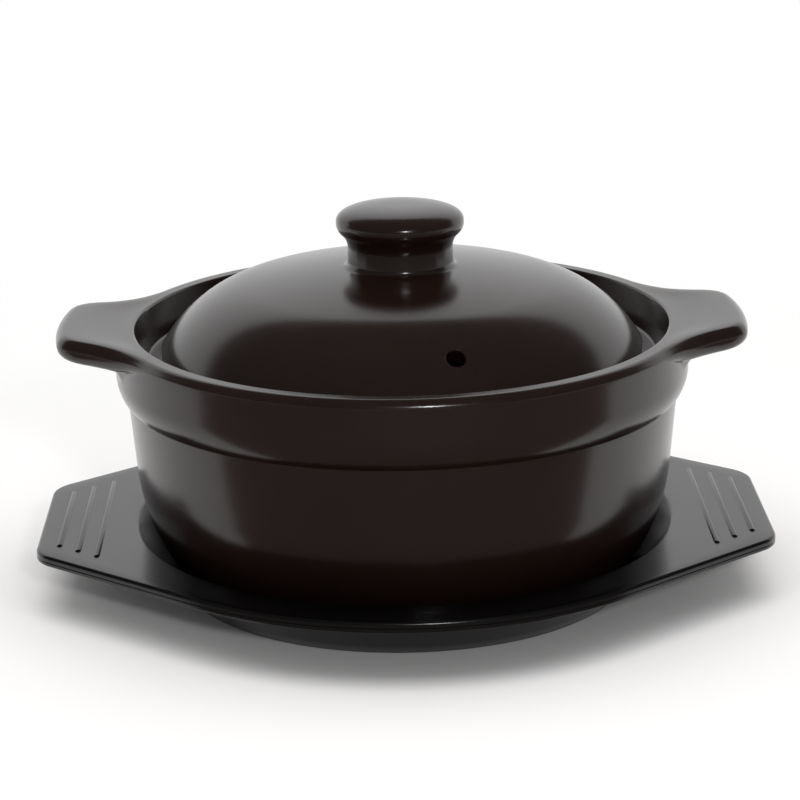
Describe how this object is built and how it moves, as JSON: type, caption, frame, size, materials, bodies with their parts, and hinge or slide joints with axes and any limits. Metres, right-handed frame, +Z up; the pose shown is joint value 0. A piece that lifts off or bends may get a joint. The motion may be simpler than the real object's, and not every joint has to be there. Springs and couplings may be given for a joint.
{
  "type": "clay casserole with lid and serving tray",
  "caption": "Round dark glazed clay casserole with two tab handles and a domed lid with a knob, standing in a shallow moulded tray with ribbed grips.",
  "frame": {"origin": "on the table under the middle of the tray, which is also the axis of the pot and the lid", "axes": "+X along the two handles and the two grips, +Z up, and -Y towards the front"},
  "size_m": [0.248, 0.213, 0.1304],
  "materials": {
    "tray_plastic": "semi-gloss near-black moulded plastic",
    "pot_glaze": "satin-gloss very dark brown glaze",
    "lid_glaze": "satin-gloss very dark brown glaze"
  },
  "bodies": {
    "tray": {"tray": "tray_plastic"},
    "pot": {"pot": "pot_glaze"},
    "lid": {"lid": "lid_glaze"}
  },
  "joints": [
    {"name": "pot_lift", "type": "slide", "parent": "tray", "child": "pot", "axis": [0, 0, 1], "range_m": [0, 0.04]},
    {"name": "lid_lift", "type": "slide", "parent": "pot", "child": "lid", "axis": [0, 0, 1], "range_m": [0, 0.05]}
  ]
}
